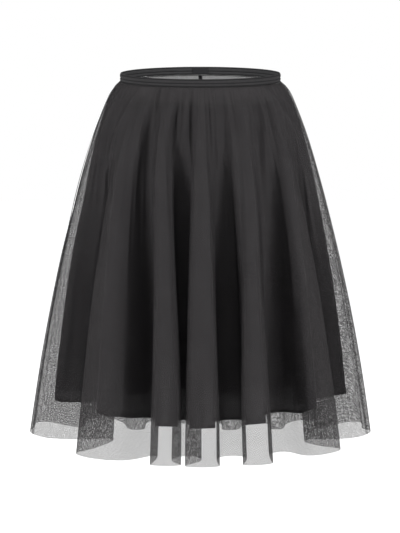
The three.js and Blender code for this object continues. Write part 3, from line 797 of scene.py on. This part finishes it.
def tape_material():
    """Plain black woven tape: rows of weft every 0.7 mm, and a slight lustre."""
    made, tree = new_material("woven_tape_black")
    place, _, y = flat_place(tree)
    rows = wave(tree, y, 0.7)
    bump = add_node(tree, "Bump", {
        "Strength": 0.3, "Distance": 0.1 * MM, "Height": rows})
    noise = add_node(tree, "TexNoise", {"Vector": place, "Scale": 300.0, "Detail": 2.0})
    tone = add_node(tree, "Mix", {
        0: noise.outputs["Fac"], 6: linear("28282a"), 7: linear("323234")}, data_type="RGBA")
    body = add_node(tree, "BsdfPrincipled", {
        "Base Color": tone.outputs[2], "Roughness": 0.55, "Normal": bump,
        "Specular IOR Level": 0.15})
    add_node(tree, "OutputMaterial", {"Surface": body})
    return made


def flat_sector(share, level, sweep, hem_radius, hem):
    """Where the cloth's points were before sewing: a sector of a circle, with the waist edge on
    the inner arc and the hem, whose levels are given, on the outer one."""
    radius = hem_radius - TULLE_LENGTH * (hem - level)
    turn = share[None, :] * sweep
    return np.dstack([radius * np.sin(turn), radius * np.cos(turn)])


# How much shorter than its solid the lining hangs, in millimetres, at shares of the way round
HEM_LIFT = np.array([
    [-0.50, 7], [-0.46, 9], [-0.42, 5], [-0.38, 8], [-0.34, 6], [-0.315, 1], [-0.300, 3], [-0.290, 5],
    [-0.275, 6], [-0.260, 8], [-0.245, 13], [-0.220, 14], [-0.200, 11], [-0.180, 13], [-0.160, 10],
    [-0.150, 6], [-0.130, 6.5], [-0.090, 6.5], [-0.060, 4], [-0.020, 5.5], [0.020, 6], [0.050, 3.5],
    [0.065, 4], [0.090, 9], [0.120, 9], [0.145, 9], [0.160, 10], [0.180, 14], [0.210, 14], [0.235, 12],
    [0.260, 13], [0.272, 15], [0.282, 12.5], [0.290, 9.5], [0.310, 7], [0.350, 9], [0.400, 6],
    [0.440, 9],
])

# Seams as points of the hem line
SEAM_LEFT = nearest(TULLE_HEM, LEFT_SEAM) - HEM_POINTS
SEAM_RIGHT = nearest(TULLE_HEM, RIGHT_SEAM)
SEAM_BACK = nearest(TULLE_HEM, BACK_SEAM)
PANELS = {"front": (SEAM_LEFT, SEAM_RIGHT), "back_right": (SEAM_RIGHT, SEAM_BACK),
          "back_left": (SEAM_BACK, SEAM_LEFT + HEM_POINTS)}

LINING_AT_END = lining_plan(np.arange(HEM_POINTS) / HEM_POINTS, np.full(HEM_POINTS, LINING_END))
LINING_RADIUS = distances(LINING_AT_END)[-1] / LINING_SWEEP

MATERIALS = {"tulle": tulle_material(), "lining": lining_material(),
             "waistband": band_material(), "patch": tape_material(), "seam": seam_material(),
             "thread": thread_material()}


def finish_piece(piece, slot, node=None, material=None):
    """Gives a piece its material, chosen by its slot unless another is named, and the body that it
    rides on, and hides the solid whose place it takes, if it takes one."""
    piece.data.materials.append(MATERIALS[material or slot])
    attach(piece, "root")
    if node:
        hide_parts(node)


def level_steps(top, bottom, count):
    """Levels from top to bottom, closer together near the waist."""
    t = np.linspace(0, 1, count)
    return top + (bottom - top) * (0.55 * t + 0.45 * t ** 2)


def trim_edges(share):
    """Panel edges stop half a gap short of the seam."""
    short = share.copy()
    edge = GAP / 2 / HEM_LENGTH
    short[0] += edge
    short[-1] -= edge
    return short


def tulle_relief(share, level):
    """How far the tulle stands out from its plan: gathers, ripples, creases and pinches."""
    return gathers(share, level) + streaks(share, level) + creases(share, level) + pinches(share, level)


def lining_relief(share, level):
    """The same for the lining: half the ripples, no pinches, and 0.3 mm further in."""
    return gathers(share, level) + 0.5 * streaks(share, level) + creases(share, level) - 0.3


def thickness(level):
    """The tulle's shell is thicker where it is drawn in under the band."""
    return TULLE_THICK * (1 + 1.3 * np.exp(-level / 0.02))


# Seam allowances of the tulle, inside it and pressed to one side, and the panel that each is cut
# on: its name, the seam, and the side that it lies to
ALLOWANCES = (("left", SEAM_LEFT, -1, "back_left"), ("right", SEAM_RIGHT, 1, "back_right"),
              ("back", SEAM_BACK, 1, "back_left"))
allowances = {}
for name, seam, to_side, panel in ALLOWANCES:
    level = level_steps(0.001, 0.9995, SEAM_ROWS)
    width = np.linspace(0, SEAM_WIDTH, SEAM_COLUMNS)
    across = width * to_side - (SEAM_WIDTH / 2 if name == "back" else 0)
    points = beside_seam(tulle_plan, tulle_relief, seam / HEM_POINTS, level, across)
    points = points - normals(points) * (thickness(level)[:, None, None] + SEAM_OFF)
    uv = np.dstack(np.meshgrid(width, TULLE_LENGTH * level))
    if to_side < 0:
        points, uv = points[:, ::-1], uv[:, ::-1]
    strip = shell(f"seam_allowance_{name}", points, SEAM_THICK, uv)
    finish_piece(strip, "tulle", material="seam")
    allowances.setdefault(panel, []).append(strip)

for side, (first, last) in PANELS.items():
    part = (last - first) / HEM_POINTS
    share = trim_edges(spread_shares(first, last, int(round(TULLE_COLUMNS * part))))
    level = np.repeat(level_steps(0, 1, TULLE_ROWS)[:, None], len(share), axis=1)
    points = surface(tulle_plan, tulle_relief, share, level)
    uv = flat_sector(share, level, TULLE_SWEEP, TULLE_RADIUS, 1)
    cloth = shell(f"tulle_{side}_cloth", points, thickness(level), uv, turned=True)
    finish_piece(cloth, "tulle", f"tulle_{side}")

# Each lining panel's hem is lifted, and in front the lining is drawn nearly up to the band
for side, (first, last) in PANELS.items():
    part = (last - first) / HEM_POINTS
    share = trim_edges(spread_shares(first, last, int(round(LINING_COLUMNS * part))))
    top = LINING_TOP * (0.2 if side == "front" else 1)
    lift = np.interp(share, np.append(HEM_LIFT[:, 0], 1 + HEM_LIFT[:, 0]), np.tile(HEM_LIFT[:, 1], 2))
    hem = LINING_END - lift / TULLE_LENGTH
    level = top + (hem - top) * level_steps(0, 1, LINING_ROWS)[:, None]
    points = surface(lining_plan, lining_relief, share, level)
    uv = flat_sector(share, level, LINING_SWEEP, LINING_RADIUS, hem)
    cloth = shell(f"lining_{side}_cloth", points, LINING_THICK, uv)
    finish_piece(cloth, "lining", f"lining_{side}")


def band_points(columns):
    """A closed profile carried round the waist's oval; the knit swells between the two rows of
    stitching, unevenly by a little."""
    a = np.linspace(0, 2 * math.pi, columns, endpoint=False)
    wobble = 0.06 * np.sin(41 * a) * np.sin(17 * a + 1) + 0.05 * np.sin(113 * a)
    proud = BAND_PROFILE[:, :1] + np.where(BAND_PROFILE[:, :1] > -0.2, wobble, 0)
    z = BAND_HEIGHT / 2 - BAND_PROFILE[:, 1:] + 0 * a
    xy = oval(a[None, :], WAIST_WIDTH / 2 + proud, WAIST_DEPTH / 2 + proud, WAIST_DEPTH / 2 + proud)
    return np.dstack([xy, z]), np.dstack(np.meshgrid(a * WAIST_RADIUS, BAND_RUN))


def waist_thread(name, z, proud, thick, stitch):
    """A round thread that runs round the waist's oval and dips into the band once a stitch, as
    a closed ring of tubes."""
    count = int(round(2 * math.pi * WAIST_RADIUS / stitch)) * THREAD_STEPS
    a = np.linspace(0, 2 * math.pi, count, endpoint=False)
    dip = proud - thick * (1 - np.abs(np.sin(math.pi * a * WAIST_RADIUS / stitch)) ** 0.5)
    turn = np.linspace(0, 2 * math.pi, THREAD_SIDES, endpoint=False)[:, None]
    out = dip + thick / 2 * np.cos(turn)
    xy = oval(a[None, :], WAIST_WIDTH / 2 + out, WAIST_DEPTH / 2 + out, WAIST_DEPTH / 2 + out)
    points = np.dstack([xy, z - thick / 2 * np.sin(turn) + 0 * a])
    last = (THREAD_SIDES - 1) * count
    closing = grid_faces(2, count, wrap=True) % count + np.array([last, 0, 0, last])
    faces = np.concatenate([grid_faces(THREAD_SIDES, count, wrap=True), closing])
    uv = np.dstack(np.meshgrid(a * WAIST_RADIUS, np.arange(THREAD_SIDES) * thick / 2))
    thread = make_mesh(name, points.reshape(-1, 3), faces, uv.reshape(-1, 2))
    finish_piece(thread, "waistband", material="thread")


grid, uv = band_points(BAND_COLUMNS)
rows, columns = grid.shape[:2]
body_faces = grid_faces(rows, columns, wrap=True)
column = np.arange(columns)
after = (column + 1) % columns
closing = np.stack([(rows - 1) * columns + column, column, after, (rows - 1) * columns + after], -1)
band = make_mesh("waistband_knit", grid.reshape(-1, 3), np.concatenate([body_faces, closing]),
                 uv.reshape(-1, 2))
finish_piece(band, "waistband", "waistband")

# Threads round the waist: their height, how far they stand out, their thickness and stitch
for name, z, proud, thick, stitch in (
        ("band_stitching_upper", BAND_HEIGHT / 2 - BAND_GROOVES[1], -0.35, 0.45, 2.6),
        ("band_stitching_lower", BAND_HEIGHT / 2 - BAND_GROOVES[2], -0.15, 0.45, 2.6),
        ("waist_seam_cord", -BAND_HEIGHT / 2 - 0.85, -2.0, 1.3, 3.2)):
    waist_thread(name, z, proud, thick, stitch)

# The patch inside the band at the centre back: a strip of the band's inner oval
PATCH_WIDTH, PATCH_HEIGHT, PATCH_WALL = 24, 11, 0.9
across = np.linspace(PATCH_WIDTH / 2, -PATCH_WIDTH / 2, PATCH_COLUMNS)
down = np.linspace(PATCH_HEIGHT / 2, -PATCH_HEIGHT / 2, PATCH_ROWS)
inset = BAND_WALL + GAP + PATCH_WALL
angle = math.pi - np.arcsin(across / (WAIST_WIDTH / 2 - inset))
xy = oval(angle, WAIST_WIDTH / 2 - inset, WAIST_DEPTH / 2 - inset, WAIST_DEPTH / 2 - inset)
points = np.dstack([np.broadcast_to(xy, (len(down), len(across), 2)),
                    np.broadcast_to(down[:, None], (len(down), len(across)))])
uv = np.dstack(np.meshgrid(across, down))
patch = shell("waist_patch_tape", points[:, ::-1], PATCH_WALL, uv[:, ::-1])
finish_piece(patch, "patch", "waist_patch")

# The studio, in metres. Three soft boxes look at the middle of the skirt: their place, size and
# power in watts
SKIRT_MIDDLE = (0, 0, -0.3)
SOFT_BOXES = {
    "soft_box_left": ((-3.7, -2.3, 1.8), 1.6, 192),
    "soft_box_right": ((3.7, -2.3, 1.8), 1.6, 192),
    "soft_box_front": ((0, -4.6, 2.4), 1.2, 14),
}
# How bright the sky and the floor are to the cloth, and to the camera. The backdrop is white in
# the picture, and the room that lights the cloth is dimmer, so that its valleys stay dark.
SKY_GLOW, FLOOR_GLOW = (0.18, 1.0), (0.35, 0.8)
FLOOR_SIDE, FLOOR_FRONT, FLOOR_BACK, FLOOR_LEVEL = 7, -8, 6, -1.05


def soft_box(name, place, size, power):
    """A square area light, turned and tilted from its place to the middle of the skirt."""
    data = bpy.data.lights.new(name, "AREA")
    data.shape, data.size, data.energy = "SQUARE", size, power
    made = bpy.data.objects.new(name, data)
    look = np.array(SKIRT_MIDDLE, float) - np.array(place, float)
    made.location = place
    yaw = math.atan2(look[1], look[0]) - math.pi / 2
    pitch = math.atan2(look[2], math.hypot(look[0], look[1]))
    made.rotation_euler = (math.pi / 2 + pitch, 0, yaw)
    bpy.context.scene.collection.objects.link(made)


def brightness(tree, glow):
    """The strength of a glow: its first value to the cloth, its second to the camera."""
    path = add_node(tree, "LightPath")
    return add_node(tree, "MapRange", {
        "Value": path.outputs["Is Camera Ray"], "To Min": glow[0], "To Max": glow[1]})


for name, (place, size, power) in SOFT_BOXES.items():
    soft_box(name, place, size, power)

world = bpy.data.worlds.new("white_studio")
world.use_nodes = True
tree = world.node_tree
tree.nodes.clear()
sky = add_node(tree, "Background", {
    "Color": (1, 1, 1, 1), "Strength": brightness(tree, SKY_GLOW)})
add_node(tree, "OutputWorld", {"Surface": sky})
scene = bpy.context.scene
scene.world = world
scene.view_settings.view_transform = "Standard"
scene.cycles.transparent_max_bounces = 48

floor_points = np.array([
    [-FLOOR_SIDE, FLOOR_FRONT, FLOOR_LEVEL], [FLOOR_SIDE, FLOOR_FRONT, FLOOR_LEVEL],
    [FLOOR_SIDE, FLOOR_BACK, FLOOR_LEVEL], [-FLOOR_SIDE, FLOOR_BACK, FLOOR_LEVEL]]) / MM
floor = make_mesh("studio_floor", floor_points, np.array([[0, 1, 2, 3]]))
paint, tree = new_material("pale_studio_floor")
speck = add_node(tree, "TexNoise", {"Scale": 3.0, "Detail": 2.0})
tone = add_node(tree, "Mix", {
    0: speck.outputs["Fac"], 6: linear("f0f0f0"), 7: linear("f4f4f4")}, data_type="RGBA")
body = add_node(tree, "BsdfPrincipled", {
    "Base Color": tone.outputs[2], "Roughness": 0.9, "Specular IOR Level": 0.0,
    "Emission Color": linear("ffffff"), "Emission Strength": brightness(tree, FLOOR_GLOW)})
add_node(tree, "OutputMaterial", {"Surface": body})
floor.data.materials.append(paint)

# The camera stands 6 m in front, 0.65 m above the waist, and is tilted down to the skirt's
# middle. The lens is in millimetres and the tilt in degrees.
CAMERA_PLACE, CAMERA_TILT, CAMERA_LENS, CAMERA_SENSOR = (-0.0005, -6.0, 0.6475), 9.037, 254.7, 36
lens = bpy.data.cameras.new("camera")
lens.lens = CAMERA_LENS
lens.sensor_width = CAMERA_SENSOR
camera = bpy.data.objects.new("camera", lens)
camera.location = CAMERA_PLACE
camera.rotation_euler = (math.radians(90 - CAMERA_TILT), 0, 0)
scene.collection.objects.link(camera)
scene.camera = camera
